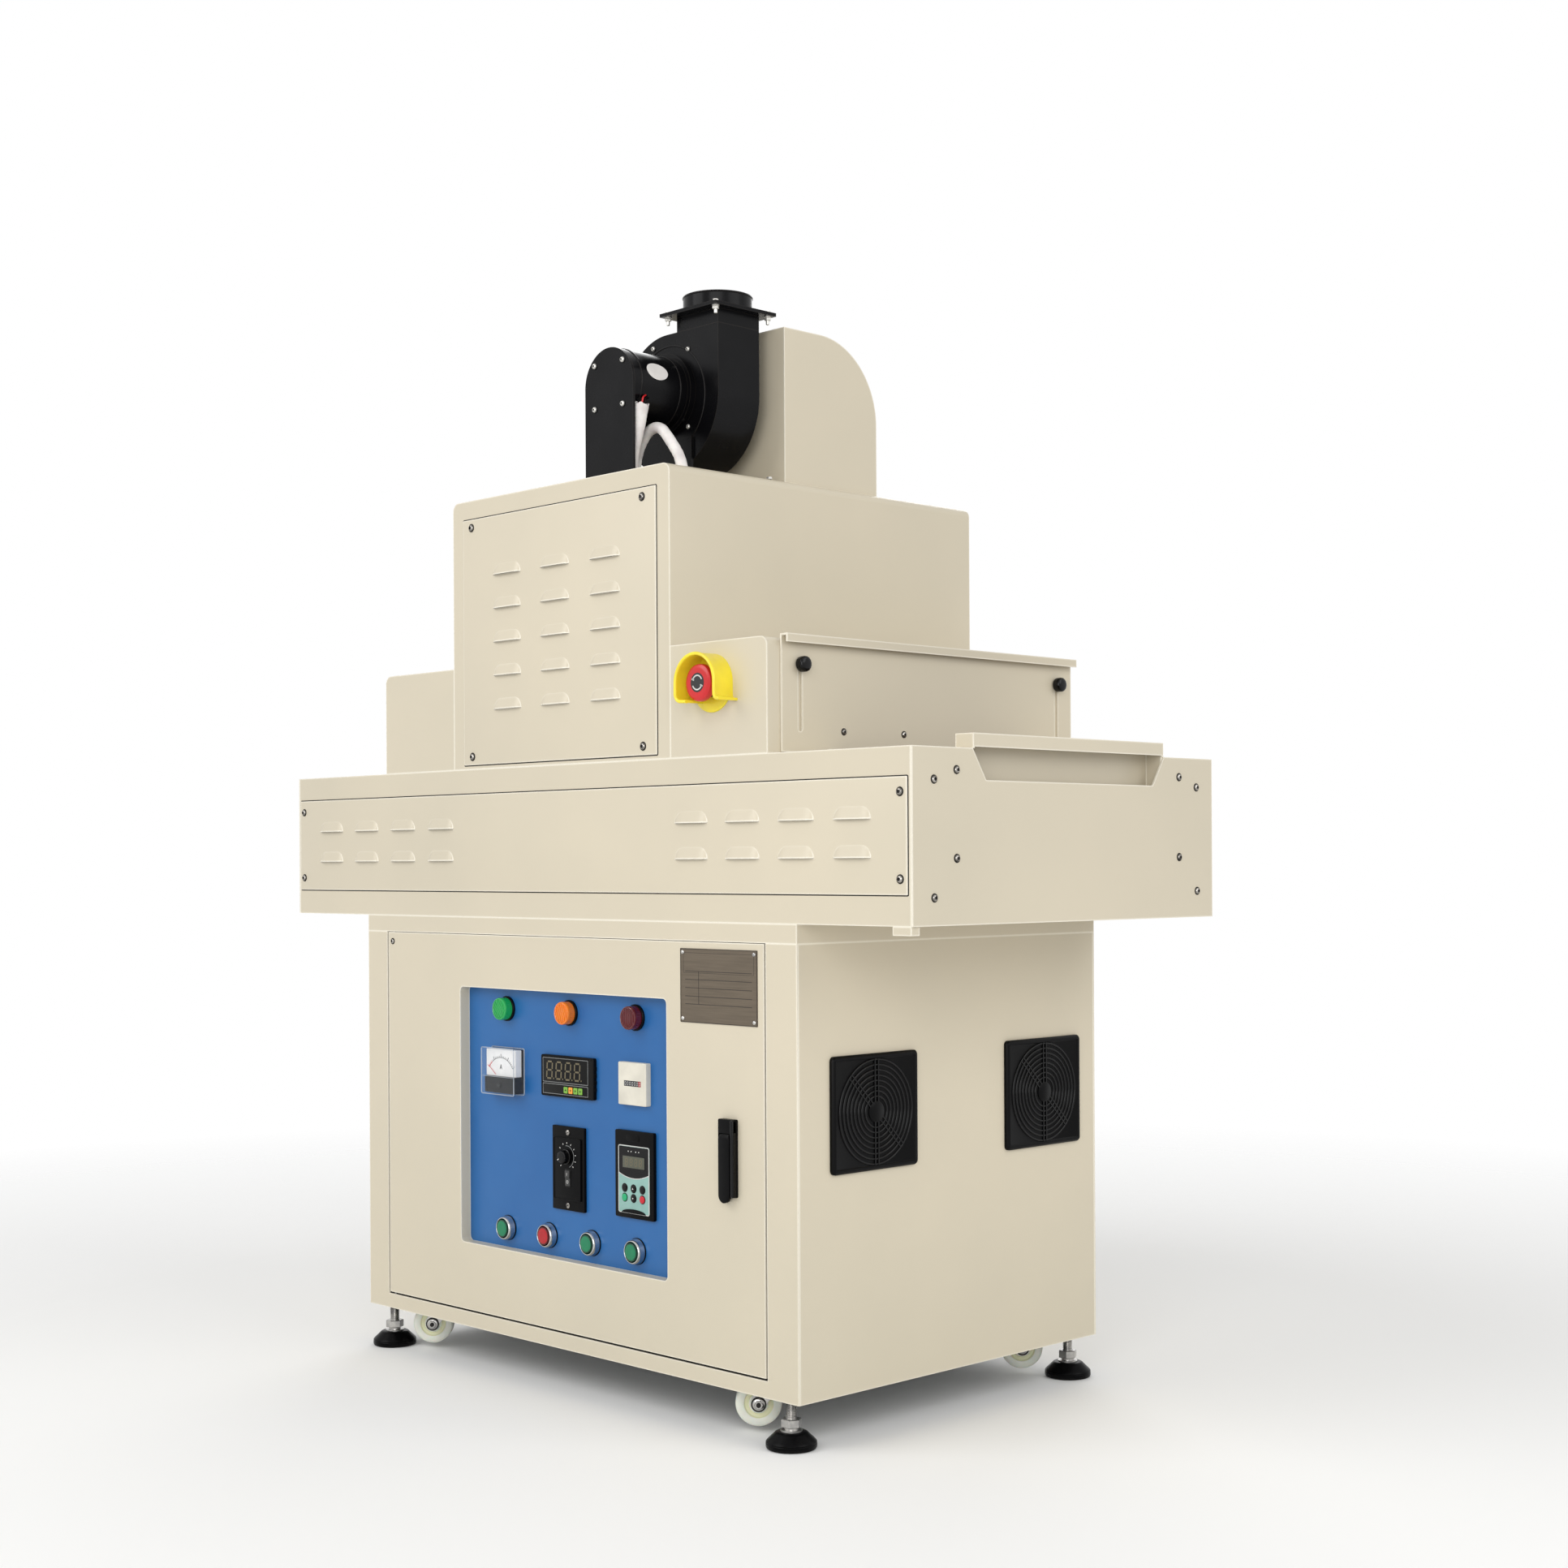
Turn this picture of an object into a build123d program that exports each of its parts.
from build123d import *
from math import cos, pi, radians, sin
import os

# UV conveyor dryer, in millimetres.
# X runs along the belt, -Y is the operator's side, +Z is up.
# The origin is on the floor, under the middle of the machine's bounding box.

# Cabinet
cab_w = 780.0
cab_d = 493.0
cab_bottom = 51.0
cab_top = 526.5
sheet = 2.0
cap_h = 20.5

# Conveyor housing
conv_len = 1104.0
conv_d = 502.0
conv_h = 178.0
side_panel_w = 1092.0
side_panel_h = 117.0
side_panel_rise = 31.0
skin = 1.5
deck_lip_h = 12.0
clip_l = 25.0
clip_w = 12.0
clip_h = 9.0

# Belt
belt_w = 300.0
belt_gap = 7.5
belt_t = 1.0
belt_rise = 1.0
roller_r = 30.0
belt_clear = 0.3
bed_t = 5.0

# Belt end guards: pockets, the raised shelf on the right, and the notches in front
shelf_depth = 24.0
shelf_rise = 15.5
shelf_wall = 2.0
shelf_lip_gap = 1.5
notch_h = 32.0
notch_slope = 20.5

# Lamp housing and tunnel hoods
uv_w = 398.0
uv_d = 497.0
uv_h = 324.0
uv_x = -3.5
bend_r = 10.0
uv_panel_w = 355.0
uv_panel_h = 296.0
uv_panel_rise = 5.0
hood_reach = 348.0
hood_h = 123.0
portal_h = 92.0
portal_inset = 62.0

# Shutter plates on the hood ends
shutter_t = 2.0
shutter_gap = 0.3
shutter_start = 19.0
shutter_floor_gap = 2.0
shutter_rise = 3.0
shutter_lip = 9.0
shutter_travel = 68.0
shutter_cut_h = 6.0
knob_r = 8.5
knob_t = 11.0
knob_inset = 27.5
knob_h = 95.0
stem_r = 2.5
stem_gap = 0.5

# Louvres
louvre_w = 52.0
louvre_h = 13.0
louvre_out = 5.0

# Emergency stop
stop_x = 264.0
stop_rise = 77.5
guard_w = 65.0
guard_depth = 28.0
guard_t = 3.0
guard_leg = 19.0
guard_base_t = 2.0
stop_collar_out = 7.0
stop_r = 20.0
stop_face = 22.0
stop_cap_t = 10.0
stop_stem_r = 11.0
neck_r = 9.0
neck_gap = 0.1
stop_travel = 4.0

# Door, its window and the panel behind it
door_w = 686.0
door_h = 454.3
door_left = -345.0
door_top_gap = 0.7
door_gap = 2.5
hinge_gap = 3.0
window_left = 194.3
window_right = 185.2
window_top = 64.3
window_h = 309.2
window_r = 6.0
panel_set_back = 14.0
panel_margin = 16.0
panel_t = 1.5
reveal_t = 1.5
hinge_in = 5.5
hinge_back = 4.5
lug_w = 7.0
lug_t = 5.0
lug_h = 22.0
hinge_pin_r = 1.5
hinge_pin_gap = 0.05
hinge_pin_l = 15.0

# Instruments: middle column and spacing, heights above the floor
col_x = 0.8
col_step = 118.3
lamp_z = 438.0
meter_z = 364.0
control_z = 258.0
button_z = 176.2
button_step = 78.8
lamp_r = 15.0
lamp_out = 14.0
ammeter_w = 64.0
ammeter_h = 56.0
ammeter_out = 17.0
display_w = 96.0
display_h = 48.0
display_out = 5.0
counter_w = 48.0
counter_out = 7.0
speed_w = 58.0
speed_h = 97.0
speed_out = 6.0
keypad_w = 66.0
keypad_h = 98.0
keypad_out = 5.5
keypad_rise = 4.0
instrument_back = 40.0
instrument_edge = 4.0
instrument_body_r = 11.0
hole_gap = 0.3
bezel_r = 15.0
bezel_out = 9.5
button_r = 10.5
button_out = 11.0
button_travel = 3.0
button_well = 1.0
speed_knob_r = 8.8
speed_knob_out = 9.0
speed_knob_rise = 14.0
run_gap = 0.3

# Nameplate and lift handle on the door
plate_x = 210.5
plate_w = 121.0
plate_h = 80.0
plate_drop = 8.0
plate_t = 0.8
handle_x = 288.0
handle_w = 24.0
handle_h = 83.0
handle_top = 339.0
handle_t = 7.0
lever_w = 17.0
lever_l = 73.0
lever_t = 5.0
lever_drop = 16.0
lever_gap = 0.4
lever_shift = -2.0
lever_pin_r = 1.5

# Fan grilles on the cabinet sides
grille_w = 132.0
grille_h = 124.0
grille_t = 6.0
grille_start = 47.0
grille_step = 281.0
grille_z = 345.5
fan_r = 56.0
ring_w = 2.2
ring_step = 9.0

# Feet and casters
foot_x = 361.0
foot_in = 17.0
pad_r = 27.0
pad_h = 12.0
pad_top_r = 14.0
pad_neck_h = 18.0
stem_foot_r = 6.0
nut_r = 11.0
nut_h = 9.0
nut_z = 22.0
caster_x = 298.0
caster_in = 55.0
caster_trail = 18.0
wheel_r = 25.0
wheel_t = 20.0
wheel_clear = 6.5
fork_t = 2.5
fork_gap = 1.5
axle_r = 4.0
axle_gap = 0.05
caster_plate = 46.0
caster_plate_t = 2.5
swivel_r = 20.0
swivel_h = 5.0
swivel_gap = 0.3
front_yaw = 45.8
rear_yaw = 225.8

# Blower
blower_x = 82.0
motor_z = 1152.0
scroll_z = 1147.0
scroll_r = 85.0
scroll_step = 3.0
scroll_start = 100.0
scroll_d = 64.0
outlet_w = 70.0
outlet_top = 1239.5
flange_w = 95.0
flange_t = 4.0
collar_r = 40.0
collar_h = 18.0
collar_wall = 2.0
duct_wall = 3.0
motor_r = 42.0
motor_ring_r = 47.0
motor_ring_t = 8.0
bracket_r = 42.0
bracket_start = 10.0
bracket_t = 3.0
support_h = 50.0
inlet_r = 45.0

# Duct cowl behind the blower
cowl_x = 84.0
cowl_w = 198.0
cowl_start = 188.7
cowl_d = 154.0
cowl_h = 180.0
cowl_r = 95.0

# White sleeves on the motor leads
sleeve_d = 11.0

# Heights and faces that follow
conv_bottom = cab_top + cap_h
deck = conv_bottom + conv_h
uv_top = deck + uv_h
hood_top = deck + hood_h
front = (guard_depth - conv_d - skin - louvre_out) / 2
half_cab = cab_w / 2
half_conv = conv_len / 2
door_right = door_left + door_w
door_top = cab_top - door_top_gap
door_bottom = door_top - door_h
rail_top = door_bottom - door_gap
floor_z = rail_top - sheet
mid_y = front + conv_d / 2

os.makedirs("parts", exist_ok=True)


def block(x, y, z, mode=Mode.ADD):
    """A box from three (low, high) ranges."""
    size = [high - low for low, high in (x, y, z)]
    centre = tuple((high + low) / 2 for low, high in (x, y, z))
    with Locations(centre):
        Box(*size, mode=mode)


def rod_y(x, z, r, y, mode=Mode.ADD):
    """A cylinder along Y between two depths."""
    with Locations(Location((x, (y[0] + y[1]) / 2, z), (90, 0, 0))):
        Cylinder(r, y[1] - y[0], mode=mode)


def rod_z(x, y, r, z, mode=Mode.ADD):
    """A cylinder along Z between two heights."""
    with Locations((x, y, (z[0] + z[1]) / 2)):
        Cylinder(r, z[1] - z[0], mode=mode)


def rod_x(y, z, r, x, mode=Mode.ADD):
    """A cylinder along X between two places."""
    with Locations(Location(((x[0] + x[1]) / 2, y, z), (0, 90, 0))):
        Cylinder(r, x[1] - x[0], mode=mode)


def write(builder, name):
    """Label a finished piece and write its STEP file."""
    builder.part.label = name
    export_step(builder.part, "parts/" + name + ".step")


def back_at(y):
    """A depth measured from the operator's face."""
    return front + y


# Cabinet sides, each with two round fan cut-outs
def cabinet_side(sign, name):
    outer = sign * half_cab
    inner = sign * (half_cab - sheet)
    with BuildPart() as side:
        block(sorted((outer, inner)), (back_at(sheet), back_at(cab_d - sheet)), (cab_bottom, cab_top))
        for k in range(2):
            y = back_at(grille_start + grille_w / 2 + k * grille_step)
            rod_x(y, grille_z, fan_r, sorted((outer + sign, inner - sign)), Mode.SUBTRACT)
    write(side, name)


cabinet_side(-1, "cabinet_left_side")
cabinet_side(1, "cabinet_right_side")

with BuildPart() as cabinet_back:
    block((-half_cab, half_cab), (back_at(cab_d - sheet), back_at(cab_d)), (cab_bottom, cab_top))
write(cabinet_back, "cabinet_back")

with BuildPart() as cabinet_floor:
    inner_x = half_cab - sheet
    block((-inner_x, inner_x), (back_at(sheet), back_at(cab_d - sheet)), (floor_z, floor_z + sheet))
write(cabinet_floor, "cabinet_floor")

# Front frame: two stiles and the rail under the door, one folded sheet
with BuildPart() as cabinet_front_frame:
    block((-half_cab, half_cab), (front, back_at(sheet)), (cab_bottom, cab_top))
    block((door_left - hinge_gap, door_right + door_gap), (front - 1, back_at(sheet) + 1),
          (rail_top, cab_top + 1), Mode.SUBTRACT)
write(cabinet_front_frame, "cabinet_front_frame")

with BuildPart() as cabinet_cap:
    block((-half_cab, half_cab), (front, back_at(cab_d)), (cab_top, conv_bottom))
write(cabinet_cap, "cabinet_cap")


# Fan grilles: a bevelled square frame with rings and cross bars over the opening
def grille(sign, index):
    y = back_at(grille_start + grille_w / 2 + index * grille_step)
    face = Plane((sign * half_cab, y, grille_z), x_dir=(0, 1, 0), z_dir=(sign, 0, 0))
    with BuildPart() as cover:
        with BuildSketch(face):
            Rectangle(grille_w, grille_h)
        extrude(amount=grille_t)
        outer_face = cover.faces().filter_by(Axis.X).sort_by(Axis.X)[-1 if sign > 0 else 0]
        chamfer(outer_face.edges(), grille_t / 2)
        with BuildSketch(face):
            Circle(fan_r)
        extrude(amount=grille_t + 1, mode=Mode.SUBTRACT)
        with BuildSketch(face.offset(grille_t / 3)):
            for r in range(int((fan_r - ring_step / 2) // ring_step)):
                outer = fan_r - (r + 1) * ring_step
                Circle(outer)
                Circle(outer - ring_w, mode=Mode.SUBTRACT)
            Circle(fan_r - int((fan_r - ring_step / 2) // ring_step) * ring_step)
            with PolarLocations(0, 4):
                Rectangle(2 * fan_r + 1, ring_w * 1.5)
        extrude(amount=grille_t / 3)
    return cover.part


with BuildPart() as fan_grilles:
    for sign in (-1, 1):
        for index in range(2):
            add(grille(sign, index))
write(fan_grilles, "fan_grilles")

# Levelling feet
foot_places = [(sx * foot_x, y) for sx in (-1, 1) for y in (back_at(foot_in), back_at(cab_d - foot_in))]

with BuildPart() as foot_pads:
    for x, y in foot_places:
        with BuildSketch(Plane((x, y, 0), x_dir=(1, 0, 0), z_dir=(0, -1, 0))):
            with BuildLine():
                Polyline((0, 0), (pad_r, 0), (pad_r, pad_h / 3), (pad_top_r, pad_h), (pad_top_r, pad_neck_h),
                         (0, pad_neck_h), close=True)
            make_face()
        revolve(axis=Axis((x, y, 0), (0, 0, 1)))
write(foot_pads, "foot_pads")

with BuildPart() as foot_stems:
    for x, y in foot_places:
        rod_z(x, y, stem_foot_r, (pad_neck_h, floor_z))
        with BuildSketch(Plane((x, y, nut_z))):
            RegularPolygon(nut_r, 6)
        extrude(amount=nut_h)
write(foot_stems, "foot_stems")

# Casters: fixed top plates, swivelling forks and wheels with their axles towards the operator's right
caster_places = [("front_left", -1, 0), ("front_right", 1, 0), ("rear_left", -1, 1), ("rear_right", 1, 1)]
wheel_z = wheel_clear + wheel_r
plate_bottom = floor_z - caster_plate_t
race_top = plate_bottom - swivel_gap


def caster_centre(side, rear):
    """The swivel axis of one caster, in plan."""
    return side * caster_x, back_at(cab_d - caster_in if rear else caster_in)


with BuildPart() as caster_plates:
    for name, side, rear in caster_places:
        x, y = caster_centre(side, rear)
        half = caster_plate / 2
        block((x - half, x + half), (y - half, y + half), (plate_bottom, floor_z))
write(caster_plates, "caster_plates")

# Fork and wheel of each caster: the front forks trail to the front left, the rear ones to the back right
half_fork = wheel_t / 2 + fork_gap
crown = race_top - swivel_h
boss_r = 2 * axle_r


def cheek_plane(centre, yaw, offset):
    """The upright plane of a caster's cheek, offset along its axle; yaw turns the fork about its swivel."""
    along = (-cos(radians(yaw)), -sin(radians(yaw)), 0)
    across = (sin(radians(yaw)), -cos(radians(yaw)), 0)
    return Plane((centre[0] + across[0] * offset, centre[1] + across[1] * offset, 0), x_dir=along,
                 z_dir=(-across[0], -across[1], 0))


for name, side, rear in caster_places:
    centre = caster_centre(side, rear)
    yaw = rear_yaw if rear else front_yaw
    with BuildPart() as fork:
        rod_z(*centre, swivel_r, (crown, race_top))
        for start in (half_fork + fork_t, -half_fork):
            with BuildSketch(cheek_plane(centre, yaw, start)):
                with BuildLine():
                    Polyline((-swivel_r * 0.7, crown), (swivel_r, crown), (caster_trail + boss_r, wheel_z),
                             (caster_trail - boss_r, wheel_z), close=True)
                make_face()
                with Locations((caster_trail, wheel_z)):
                    Circle(boss_r)
            extrude(amount=fork_t)
        with BuildSketch(cheek_plane(centre, yaw, half_fork)):
            with Locations((caster_trail, wheel_z)):
                Circle(axle_r)
        extrude(amount=2 * half_fork)
    write(fork, "caster_fork_" + name)

    with BuildPart() as wheel:
        with BuildSketch(cheek_plane(centre, yaw, wheel_t / 2)):
            with Locations((caster_trail, wheel_z)):
                Circle(wheel_r)
                Circle(axle_r + axle_gap, mode=Mode.SUBTRACT)
        extrude(amount=wheel_t)
        fillet(wheel.edges().filter_by(GeomType.CIRCLE).group_by(SortBy.RADIUS)[-1], 2.5)
    write(wheel, "caster_wheel_" + name)

# Conveyor frame: walls and deck strips in folded sheet, either side of the belt slot
end_x = half_conv - sheet
slot = (mid_y - belt_w / 2 - belt_gap, mid_y + belt_w / 2 + belt_gap)
conv_back = front + conv_d
with BuildPart() as conveyor_frame:
    for face, edge, sign in ((front, slot[0], 1), (conv_back, slot[1], -1)):
        block((-end_x, end_x), sorted((face, face + sign * sheet)), (conv_bottom, deck))
        block((-end_x, end_x), sorted((face, edge)), (deck - sheet, deck))
        block((-end_x, end_x), sorted((edge, edge - sign * sheet)), (deck - deck_lip_h, deck))
    for sign in (-1, 1):
        block(sorted((sign * (half_conv - shelf_depth), sign * half_conv)),
              (slot[0] - shelf_wall, slot[1] + shelf_wall),
              (deck - deck_lip_h, deck), Mode.SUBTRACT)
write(conveyor_frame, "conveyor_frame")

with BuildPart() as conveyor_pan:
    block((-end_x, end_x), (front + sheet, conv_back - sheet), (conv_bottom, conv_bottom + sheet))
    block((end_x - clip_l, end_x), (front, front + clip_w), (conv_bottom - clip_h, conv_bottom))
write(conveyor_pan, "conveyor_pan")


def louvres(places, face_y, sign):
    """Pressed louvres that stand out of a panel face and open downwards."""
    for x, z in places:
        with BuildSketch(Plane((x - sign * louvre_w / 2, face_y, z), x_dir=(0, sign, 0),
                               z_dir=(sign, 0, 0))) as profile:
            with BuildLine():
                Line((0, 0), (louvre_out, 0))
                TangentArc((louvre_out, 0), (0, louvre_h), tangent=(0, 1))
                Line((0, louvre_h), (0, 0))
            make_face()
        extrude(profile.sketch, amount=louvre_w)


# Conveyor side panels with two rows of four louvres at each end, front and rear
conv_louvre_x = [side * (230 + 80.5 * k) for side in (-1, 1) for k in range(4)]
conv_louvre_z = [conv_bottom + 68, conv_bottom + 107]
half_panel = side_panel_w / 2
with BuildPart() as side_panels:
    for face_y, sign in ((front, -1), (conv_back, 1)):
        skin_y = face_y + sign * skin
        block((-half_panel, half_panel), sorted((face_y, skin_y)),
              (conv_bottom + side_panel_rise, conv_bottom + side_panel_rise + side_panel_h))
        louvres([(x, z) for x in conv_louvre_x for z in conv_louvre_z], skin_y, sign)
write(side_panels, "side_panels")

# End plates with a trapezoid notch in front of each pocket
notch_top = belt_w / 2 + belt_gap + 3
with BuildPart() as end_plates:
    for sign in (-1, 1):
        with BuildSketch(Plane((sign * end_x, mid_y, 0), x_dir=(0, 1, 0), z_dir=(1, 0, 0))):
            with Locations((0, (conv_bottom + deck) / 2)):
                Rectangle(conv_d, conv_h)
            with BuildLine():
                Polyline((-notch_top, deck), (notch_top, deck), (notch_top - notch_slope, deck - notch_h),
                         (notch_slope - notch_top, deck - notch_h), close=True)
            make_face(mode=Mode.SUBTRACT)
        extrude(amount=sign * sheet)
write(end_plates, "end_plates")

# Belt end guards: a pocket behind each notch, and on the right a raised shelf with an outer lip
shelf_top = deck + shelf_rise
pocket_bottom = deck - notch_h - shelf_rise
shelf_y = (slot[0] - shelf_wall, slot[1] + shelf_wall)
with BuildPart() as belt_end_guards:
    for sign, top in ((-1, deck), (1, shelf_top)):
        inner = sign * (half_conv - shelf_depth)
        block(sorted((inner, inner + sign * shelf_wall)), shelf_y, (pocket_bottom, top))
        for near in (shelf_y[0], shelf_y[1] - shelf_wall):
            block(sorted((inner, sign * end_x)), (near, near + shelf_wall), (pocket_bottom, top))
    block((half_conv - shelf_depth, half_conv), shelf_y, (shelf_top - shelf_wall, shelf_top))
    block((half_conv - shelf_wall, half_conv), shelf_y, (deck + shelf_lip_gap, shelf_top))
    for near in (shelf_y[0], shelf_y[1] - shelf_wall):
        block((end_x, half_conv), (near, near + shelf_wall), (deck, shelf_top))
write(belt_end_guards, "belt_end_guards")

# Belt loop, its two rollers and the bed under its top run
belt_top = deck + belt_rise
roller_z = belt_top - belt_t - belt_clear - roller_r
loop_r = roller_r + belt_clear
roller_x = half_conv - shelf_depth - 8 - loop_r - belt_t
belt_y = (mid_y - belt_w / 2, mid_y + belt_w / 2)
with BuildPart() as belt:
    with BuildSketch(Plane((0, belt_y[0], roller_z), x_dir=(1, 0, 0), z_dir=(0, -1, 0))):
        SlotCenterToCenter(2 * roller_x, 2 * (loop_r + belt_t))
        SlotCenterToCenter(2 * roller_x, 2 * loop_r, mode=Mode.SUBTRACT)
    extrude(amount=-belt_w)
write(belt, "belt")

with BuildPart() as belt_rollers:
    for sign in (-1, 1):
        rod_y(sign * roller_x, roller_z, roller_r, (belt_y[0] - 3, belt_y[1] + 3))
        rod_y(sign * roller_x, roller_z, axle_r * 1.5, (front + sheet, conv_back - sheet))
write(belt_rollers, "belt_rollers")

bed_top = belt_top - belt_t - belt_clear
bed_x = roller_x - roller_r - 8
with BuildPart() as belt_bed:
    block((-bed_x, bed_x), slot, (bed_top - bed_t, bed_top))
write(belt_bed, "belt_bed")


def bent_profile(x, z, corner_r, corners, mode=Mode.ADD):
    """A rectangle in the front plane whose named top corners are bent."""
    with BuildSketch(Plane((0, 0, 0), x_dir=(1, 0, 0), z_dir=(0, -1, 0)), mode=Mode.PRIVATE) as outline:
        with Locations(((x[0] + x[1]) / 2, (z[0] + z[1]) / 2)):
            Rectangle(x[1] - x[0], z[1] - z[0])
        top = outline.vertices().group_by(Axis.Y)[-1].sort_by(Axis.X)
        fillet([top[k] for k in corners], corner_r)
    return outline.sketch_local


def bent_shell(x, y, z, corners, open_left=False, open_right=False):
    """A bent sheet cover with an open bottom; either side wall can be left out."""
    inner_x = (x[0] - 1 if open_left else x[0] + sheet, x[1] + 1 if open_right else x[1] - sheet)
    outer_sketch = bent_profile(x, z, bend_r, corners)
    inner_sketch = bent_profile(inner_x, (z[0] - 1, z[1] - sheet), bend_r - sheet, corners)
    with BuildPart() as cover:
        with BuildSketch(Plane((0, y[0], 0), x_dir=(1, 0, 0), z_dir=(0, -1, 0))):
            add(outer_sketch)
        extrude(amount=y[0] - y[1])
        with BuildSketch(Plane((0, y[0] + sheet, 0), x_dir=(1, 0, 0), z_dir=(0, -1, 0))):
            add(inner_sketch)
        extrude(amount=y[0] - y[1] + 2 * sheet, mode=Mode.SUBTRACT)
    return cover.part


# Lamp housing over the middle of the belt, open below and to both tunnels
uv_x0 = uv_x - uv_w / 2
uv_x1 = uv_x + uv_w / 2
portal_y = (front + portal_inset, conv_back - portal_inset)
with BuildPart() as uv_housing:
    add(bent_shell((uv_x0, uv_x1), (front, back_at(uv_d)), (deck, uv_top), (0, 1)))
    block((uv_x0 - 1, uv_x1 + 1), portal_y, (deck - 1, deck + portal_h), Mode.SUBTRACT)
write(uv_housing, "uv_housing")

uv_louvre_x = [uv_x + 90.4 * (k - 1) for k in range(3)]
uv_louvre_z = [deck + 70 + 40 * k for k in range(5)]
uv_back = back_at(uv_d)
with BuildPart() as uv_panels:
    for face_y, sign in ((front, -1), (uv_back, 1)):
        skin_y = face_y + sign * skin
        block((uv_x - uv_panel_w / 2, uv_x + uv_panel_w / 2), sorted((face_y, skin_y)),
              (deck + uv_panel_rise, deck + uv_panel_rise + uv_panel_h))
        louvres([(x, z) for x in uv_louvre_x for z in uv_louvre_z], skin_y, sign)
write(uv_panels, "uv_panels")

# Tunnel hoods either side of the lamp housing, each with a portal in its end wall
with BuildPart() as tunnel_hoods:
    add(bent_shell((-hood_reach, uv_x0), (front, conv_back), (deck, hood_top), (0,), open_right=True))
    add(bent_shell((uv_x1, hood_reach), (front, conv_back), (deck, hood_top), (1,), open_left=True))
    for sign in (-1, 1):
        block(sorted((sign * (hood_reach - sheet - 1), sign * (hood_reach + 1))), portal_y,
              (deck - 1, deck + portal_h), Mode.SUBTRACT)
write(tunnel_hoods, "tunnel_hoods")

# Shutters: slotted plates that slide up and down on the hood ends
plate_y = (back_at(shutter_start), conv_back)
knob_ys = (plate_y[0] + knob_inset, plate_y[1] - knob_inset)
knob_z = deck + knob_h
slot_half = stem_r + stem_gap
plate_near = hood_reach + shutter_gap
plate_far = plate_near + shutter_t
for sign, name in ((-1, "shutter_left"), (1, "shutter_right")):
    with BuildPart() as shutter:
        block(sorted((sign * plate_near, sign * plate_far)), plate_y,
              (deck + shutter_floor_gap, hood_top + shutter_rise))
        block(sorted((sign * plate_far, sign * (plate_far + shutter_lip))), plate_y,
              (hood_top + shutter_rise - shutter_t, hood_top + shutter_rise))
        block(sorted((sign * (plate_far + shutter_lip - shutter_t), sign * (plate_far + shutter_lip))), plate_y,
              (hood_top + shutter_rise - shutter_lip, hood_top + shutter_rise))
        block(sorted((sign * (plate_near - 1), sign * (plate_far + 1))), (slot[0] - 5, slot[1] + 5),
              (deck, deck + shutter_cut_h), Mode.SUBTRACT)
        for y in knob_ys:
            with BuildSketch(Plane((sign * (plate_near - 1), y, knob_z - shutter_travel / 2), x_dir=(0, 0, 1),
                                   z_dir=(1, 0, 0))):
                SlotCenterToCenter(shutter_travel, 2 * slot_half)
            extrude(amount=sign * (shutter_t + 2), mode=Mode.SUBTRACT)
    write(shutter, name)

with BuildPart() as shutter_knobs:
    for sign in (-1, 1):
        for y in knob_ys:
            rod_x(y, knob_z, stem_r, sorted((sign * hood_reach, sign * (plate_far + 1))))
            rod_x(y, knob_z, knob_r, sorted((sign * (plate_far + stem_gap), sign * (plate_far + knob_t))))
write(shutter_knobs, "shutter_knobs")

# Emergency stop: an arched guard with a round base, and the mushroom button inside it
stop_z = deck + stop_rise
front_plane = Plane((0, front, 0), x_dir=(1, 0, 0), z_dir=(0, -1, 0))
with BuildPart() as estop_guard:
    with BuildSketch(front_plane):
        with Locations((stop_x, stop_z)):
            Circle(guard_w / 2 - guard_t / 2)
    extrude(amount=guard_base_t)
    with BuildSketch(front_plane):
        with Locations((stop_x, stop_z)):
            Circle(guard_w / 2)
        with Locations((stop_x, stop_z - guard_leg / 2)):
            Rectangle(guard_w, guard_leg)
        with Locations((stop_x, stop_z)):
            Circle(guard_w / 2 - guard_t, mode=Mode.SUBTRACT)
        with Locations((stop_x, stop_z - guard_w / 2)):
            Rectangle(guard_w - 2 * guard_t, guard_w, mode=Mode.SUBTRACT)
    extrude(amount=guard_depth)
    with BuildSketch(front_plane):
        with Locations((stop_x, stop_z)):
            Circle(stop_stem_r)
    extrude(amount=stop_collar_out)
    with BuildSketch(front_plane.offset(guard_base_t)):
        with Locations((stop_x, stop_z)):
            Circle(neck_r + neck_gap)
    extrude(amount=guard_depth, mode=Mode.SUBTRACT)
write(estop_guard, "estop_guard")

with BuildPart() as estop_button:
    rod_y(stop_x, stop_z, stop_r, (front - stop_face, front - stop_face + stop_cap_t))
    dome = estop_button.faces().sort_by(Axis.Y)[0]
    fillet(dome.edges(), 3)
    rod_y(stop_x, stop_z, neck_r, (front - stop_face + stop_cap_t, front - guard_base_t - stop_travel - 0.3))
write(estop_button, "estop_button")

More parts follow.
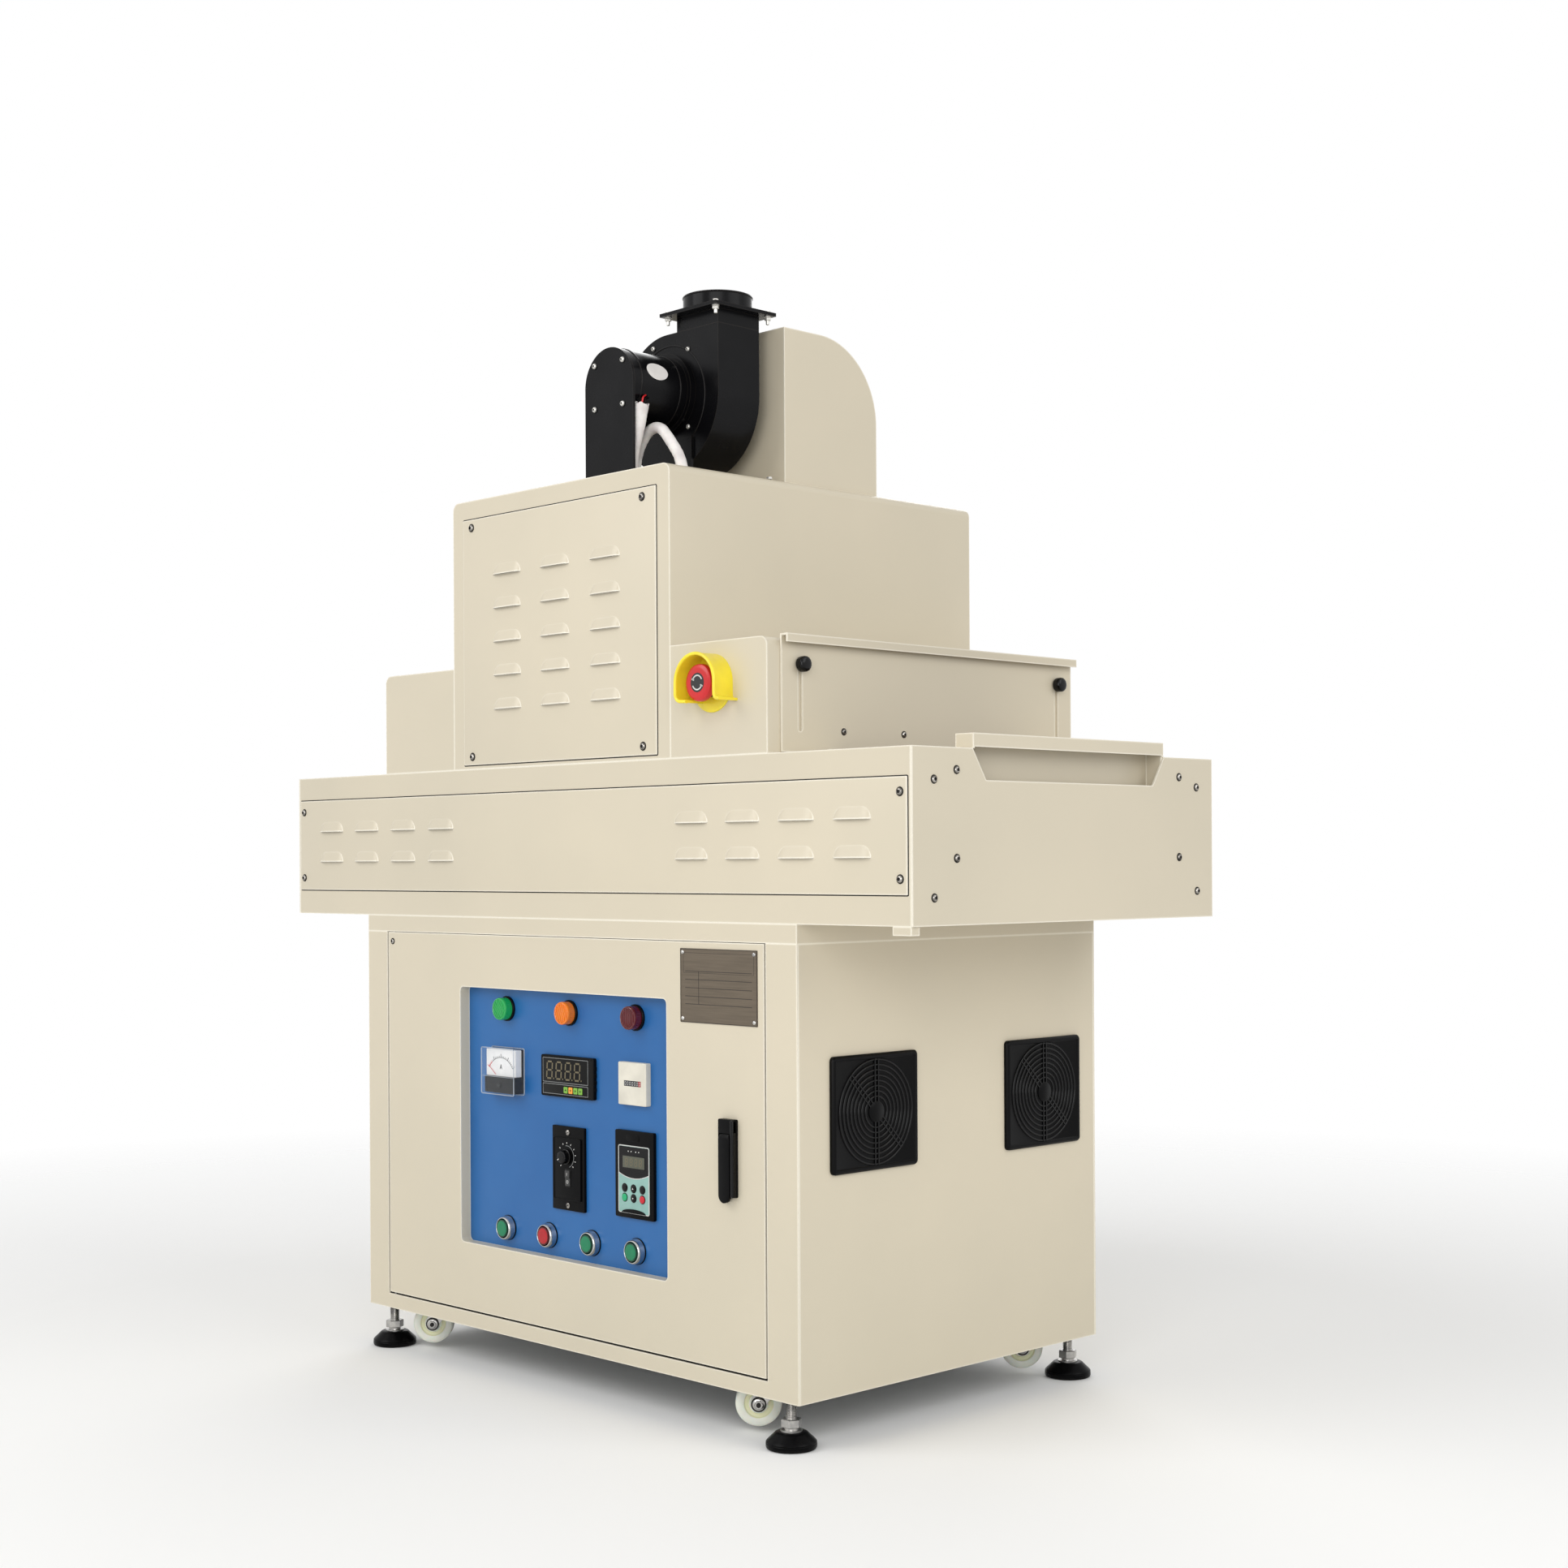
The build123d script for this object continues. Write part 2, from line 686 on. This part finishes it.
# Door: a folded skin with a window whose reveal runs back to the control panel
window_x = (col_x - window_left, col_x + window_right)
window_z = (cab_top - window_top - window_h, cab_top - window_top)
hinge_x = door_left + hinge_in
hinge_y = front + hinge_back
panel_y = front + panel_set_back
with BuildPart() as cabinet_door:
    block((door_left, door_right), (front, front + sheet), (door_bottom, door_top))
    with BuildSketch(front_plane):
        with Locations(((window_x[0] + window_x[1]) / 2, (window_z[0] + window_z[1]) / 2)):
            RectangleRounded(window_x[1] - window_x[0], window_z[1] - window_z[0], window_r)
    extrude(amount=-sheet, mode=Mode.SUBTRACT)
    with BuildSketch(front_plane.offset(-sheet)):
        with Locations(((window_x[0] + window_x[1]) / 2, (window_z[0] + window_z[1]) / 2)):
            RectangleRounded(window_x[1] - window_x[0] + 2 * reveal_t, window_z[1] - window_z[0] + 2 * reveal_t,
                             window_r + reveal_t)
            RectangleRounded(window_x[1] - window_x[0], window_z[1] - window_z[0], window_r, mode=Mode.SUBTRACT)
    extrude(amount=sheet - panel_set_back)
    for low in (door_bottom, door_top - lug_h):
        block((hinge_x - lug_w / 2, hinge_x + lug_w / 2), (front + sheet, front + sheet + lug_t),
              (low, low + lug_h))
    pin_bore = hinge_pin_r + hinge_pin_gap
    rod_z(hinge_x, hinge_y, pin_bore, (door_bottom - 1, door_bottom + hinge_pin_l), Mode.SUBTRACT)
    rod_z(hinge_x, hinge_y, pin_bore, (door_top - hinge_pin_l, door_top + 1), Mode.SUBTRACT)
write(cabinet_door, "cabinet_door")

# Hinge pins stand on the floor and hang from the cap
with BuildPart() as hinge_pins:
    rod_z(hinge_x, hinge_y, hinge_pin_r, (floor_z + sheet, door_bottom + hinge_pin_l - 1))
    rod_z(hinge_x, hinge_y, hinge_pin_r, (door_top - hinge_pin_l + 1, cab_top))
write(hinge_pins, "hinge_pins")

# Panel with a cut-out for each instrument
lamp_xs = [col_x + col_step * (k - 1) for k in range(3)]
button_xs = [col_x - col_step, col_x - button_step / 2, col_x + button_step / 2, col_x + col_step]
ammeter_x = col_x - col_step + 1
counter_x = col_x + col_step
keypad_z = control_z + keypad_rise
square_bodies = [(ammeter_x, meter_z, ammeter_w, ammeter_h), (col_x, meter_z, display_w, display_h),
                 (counter_x, meter_z, counter_w, counter_w), (col_x, control_z, speed_w, speed_h),
                 (counter_x, keypad_z, keypad_w, keypad_h)]
with BuildPart() as control_panel:
    block((window_x[0] - panel_margin, window_x[1] + panel_margin), (panel_y, panel_y + panel_t),
          (window_z[0] - panel_margin, window_z[1] + panel_margin))
    for x, z, w, h in square_bodies:
        block((x - w / 2 + instrument_edge, x + w / 2 - instrument_edge), (panel_y - 1, panel_y + panel_t + 1),
              (z - h / 2 + instrument_edge, z + h / 2 - instrument_edge), Mode.SUBTRACT)
    for x, z in [(x, lamp_z) for x in lamp_xs] + [(x, button_z) for x in button_xs]:
        rod_y(x, z, instrument_body_r, (panel_y - 1, panel_y + panel_t + 1), Mode.SUBTRACT)
write(control_panel, "control_panel")


def instrument(x, z, w, h, out, corner, name):
    """A bezel on the panel's face with its body behind the cut-out."""
    inset = 2 * (instrument_edge + hole_gap)
    with BuildPart() as piece:
        with BuildSketch(Plane((x, panel_y, z), x_dir=(1, 0, 0), z_dir=(0, -1, 0))):
            RectangleRounded(w, h, corner)
        extrude(amount=out)
        with BuildSketch(Plane((x, panel_y, z), x_dir=(1, 0, 0), z_dir=(0, -1, 0))):
            Rectangle(w - inset, h - inset)
        extrude(amount=-instrument_back)
    write(piece, name)


instrument(ammeter_x, meter_z, ammeter_w, ammeter_h, ammeter_out, 3, "ammeter")
instrument(col_x, meter_z, display_w, display_h, display_out, 2, "speed_display")
instrument(counter_x, meter_z, counter_w, counter_w, counter_out, 3, "hour_counter")
instrument(col_x, control_z, speed_w, speed_h, speed_out, 2, "speed_controller")
instrument(counter_x, keypad_z, keypad_w, keypad_h, keypad_out, 3, "lamp_keypad")

with BuildPart() as indicator_lamps:
    for x in lamp_xs:
        rod_y(x, lamp_z, lamp_r, (panel_y - lamp_out, panel_y))
        rod_y(x, lamp_z, instrument_body_r - hole_gap, (panel_y, panel_y + instrument_back))
write(indicator_lamps, "indicator_lamps")

# Push button bezels with a well for each cap, and the caps
with BuildPart() as button_bezels:
    for x in button_xs:
        rod_y(x, button_z, bezel_r, (panel_y - bezel_out, panel_y))
        rod_y(x, button_z, instrument_body_r - hole_gap, (panel_y, panel_y + instrument_back))
        rod_y(x, button_z, button_r + run_gap, (panel_y - bezel_out - 1, panel_y - button_well), Mode.SUBTRACT)
write(button_bezels, "button_bezels")

for x, name in zip(button_xs, ("push_button_a", "push_button_b", "push_button_c", "push_button_d")):
    with BuildPart() as push_button:
        rod_y(x, button_z, button_r, (panel_y - button_out, panel_y - button_well - button_travel - run_gap))
    write(push_button, name)

with BuildPart() as speed_knob:
    knob_face = panel_y - speed_out - run_gap
    rod_y(col_x, control_z + speed_knob_rise, speed_knob_r, (knob_face - speed_knob_out, knob_face))
write(speed_knob, "speed_knob")

with BuildPart() as nameplate:
    block((plate_x, plate_x + plate_w), (front - plate_t, front),
          (cab_top - plate_drop - plate_h, cab_top - plate_drop))
write(nameplate, "nameplate")

# Lift handle: a base with a channel, and a lever hinged on a pin near the top
lever_x = handle_x + lever_shift
lever_top = handle_top - lever_drop
pin_y = front - handle_t + 0.5
pin_z = lever_top - lever_t / 2
with BuildPart() as handle_base:
    block((handle_x - handle_w / 2, handle_x + handle_w / 2), (front - handle_t, front),
          (handle_top - handle_h, handle_top))
    channel = lever_w / 2 + lever_gap
    block((lever_x - channel, lever_x + channel), (front - handle_t - 1, pin_y + lever_t / 2 + lever_gap),
          (handle_top - handle_h - 1, lever_top + lever_gap), Mode.SUBTRACT)
    rod_x(pin_y, pin_z, lever_pin_r, (lever_x - channel - 0.5, lever_x + channel + 0.5))
write(handle_base, "handle_base")

with BuildPart() as handle_lever:
    rod_x(pin_y, pin_z, lever_t / 2, (lever_x - lever_w / 2, lever_x + lever_w / 2))
    with BuildSketch(Plane((lever_x, pin_y + lever_t / 2, 0), x_dir=(1, 0, 0), z_dir=(0, -1, 0))):
        with Locations((0, pin_z - (lever_l - lever_t / 2) / 2 + lever_w / 4)):
            Rectangle(lever_w, lever_l - lever_t / 2 - lever_w / 2)
        with Locations((0, lever_top - lever_l + lever_w / 2)):
            Circle(lever_w / 2)
    extrude(amount=lever_t)
    rod_x(pin_y, pin_z, lever_pin_r + hinge_pin_gap, (lever_x - lever_w, lever_x + lever_w), Mode.SUBTRACT)
write(handle_lever, "handle_lever")

# Blower: bracket, motor, scroll, and its outlet with a square duct, flange and round collar
scroll_y = (back_at(scroll_start), back_at(scroll_start + scroll_d))
bracket_y = back_at(bracket_start)
bracket_x = (blower_x - bracket_r, blower_x + bracket_r)
with BuildPart() as blower_bracket:
    with BuildSketch(Plane((blower_x, bracket_y, 0), x_dir=(1, 0, 0), z_dir=(0, -1, 0))):
        with Locations((0, motor_z)):
            Circle(bracket_r)
        with Locations((0, (uv_top + motor_z) / 2)):
            Rectangle(2 * bracket_r, motor_z - uv_top)
    extrude(amount=-bracket_t)
    block(bracket_x, (bracket_y, scroll_y[0]), (uv_top, uv_top + bracket_t))
    block(bracket_x, (scroll_y[0] - bracket_t, scroll_y[0]), (uv_top, uv_top + support_h))
write(blower_bracket, "blower_bracket")

with BuildPart() as blower_motor:
    rod_y(blower_x, motor_z, motor_r, (bracket_y + bracket_t, scroll_y[0]))
    rod_y(blower_x, motor_z, motor_ring_r, (scroll_y[0] - motor_ring_t, scroll_y[0]))
write(blower_motor, "blower_motor")

# The scroll's radius grows in three quarter turns, from the top left round to the duct on the right
duct_x = (blower_x + scroll_r - outlet_w, blower_x + scroll_r)
outlet_x = (duct_x[0] + duct_x[1]) / 2
outlet_y = (scroll_y[0] + scroll_y[1]) / 2
cowl_y = (back_at(cowl_start), back_at(cowl_start + cowl_d))
scroll_low = scroll_z - scroll_r
left_r = scroll_r - scroll_step
top_r = left_r - scroll_step
left_z = scroll_low + left_r
scroll_left = blower_x - left_r
scroll_top = left_z + top_r
with BuildPart() as blower_scroll:
    with BuildSketch(Plane((0, scroll_y[0], 0), x_dir=(1, 0, 0), z_dir=(0, -1, 0))):
        with BuildLine():
            TangentArc((duct_x[1], scroll_z), (blower_x, scroll_low), tangent=(0, -1))
            TangentArc((blower_x, scroll_low), (scroll_left, left_z), tangent=(-1, 0))
            TangentArc((scroll_left, left_z), (scroll_left + top_r, scroll_top), tangent=(0, 1))
            Polyline((scroll_left + top_r, scroll_top), (duct_x[1], scroll_top), (duct_x[1], scroll_z))
        make_face()
    extrude(amount=-scroll_d)
    rod_y(blower_x, scroll_z, inlet_r, (scroll_y[1], cowl_y[0]))
write(blower_scroll, "blower_scroll")

flange_top = outlet_top + flange_t
with BuildPart() as blower_outlet:
    half = flange_w / 2
    block((outlet_x - half, outlet_x + half), (outlet_y - half, outlet_y + half), (outlet_top, flange_top))
    block(duct_x, scroll_y, (scroll_top, outlet_top))
    block((duct_x[0] + duct_wall, duct_x[1] - duct_wall), (scroll_y[0] + duct_wall, scroll_y[1] - duct_wall),
          (scroll_top - 1, outlet_top), Mode.SUBTRACT)
    rod_z(outlet_x, outlet_y, collar_r, (flange_top, flange_top + collar_h))
    rod_z(outlet_x, outlet_y, collar_r - collar_wall, (flange_top, flange_top + collar_h + 1), Mode.SUBTRACT)
    rod_z(outlet_x, outlet_y, scroll_d / 2 - duct_wall, (outlet_top - 1, flange_top + 1), Mode.SUBTRACT)
write(blower_outlet, "blower_outlet")

# Cowl: a box with a quarter-round back edge that leads the exhaust into the blower
with BuildPart() as duct_cowl:
    with BuildSketch(Plane((cowl_x - cowl_w / 2, cowl_y[0], uv_top), x_dir=(0, 1, 0), z_dir=(1, 0, 0))):
        with BuildLine():
            Line((0, 0), (0, cowl_h))
            Line((0, cowl_h), (cowl_d - cowl_r, cowl_h))
            RadiusArc((cowl_d - cowl_r, cowl_h), (cowl_d, cowl_h - cowl_r), cowl_r)
            Line((cowl_d, cowl_h - cowl_r), (cowl_d, 0))
            Line((cowl_d, 0), (0, 0))
        make_face()
    extrude(amount=cowl_w)
write(duct_cowl, "duct_cowl")


def lead_tube(points, name):
    """A sleeve along straight runs joined by arcs as large as the runs allow."""
    vectors = [Vector(*p) for p in points]
    runs = [b - a for a, b in zip(vectors, vectors[1:])]
    radii = []
    for before, after in zip(runs, runs[1:]):
        turn = radians(before.get_angle(after))
        radii.append(0.45 * min(before.length, after.length) / (sin(turn / 2) / cos(turn / 2)))
    print(name, "radii", [round(r, 1) for r in radii])
    with BuildPart() as tube:
        with BuildLine() as path:
            FilletPolyline(*vectors, radius=radii)
        with BuildSketch(Plane(vectors[0], z_dir=runs[0])):
            Circle(sleeve_d / 2)
        sweep()
    length = sum(edge.length for edge in path.edges())
    print(name, "length", round(length, 1), "volume ratio",
          round(tube.part.volume / (length * pi * sleeve_d**2 / 4), 3))
    write(tube, name)


# Long sleeve: off the bracket foot, over in an arch and down into the housing top
foot_top = uv_top + bracket_t
arch_x = blower_x + 11
arch_y = back_at(40)
lead_tube([(arch_x, arch_y, foot_top), (arch_x, arch_y, foot_top + 10), (arch_x + 7, arch_y, foot_top + 21),
           (arch_x + 15.5, arch_y + 1, foot_top + 32), (arch_x + 25.5, arch_y + 1, foot_top + 40.5),
           (arch_x + 37.5, arch_y, foot_top + 45), (arch_x + 49.5, arch_y, foot_top + 44.5),
           (arch_x + 60.5, arch_y - 1, foot_top + 39.5), (arch_x + 70, arch_y - 1, foot_top + 31),
           (arch_x + 78, arch_y, foot_top + 21), (arch_x + 84.5, arch_y, foot_top + 11),
           (arch_x + 84.5, arch_y, uv_top)], "motor_sleeve")

# Short sleeve: up from the bracket foot beside the motor
stub_x = blower_x + 30
stub_y = back_at(22)
lead_tube([(stub_x, stub_y, foot_top), (stub_x, stub_y, foot_top + 16),
           (stub_x + 4.5, stub_y + 0.5, foot_top + 36), (stub_x + 9, stub_y, foot_top + 55),
           (stub_x + 13.5, stub_y, foot_top + 74)], "lead_sleeve")
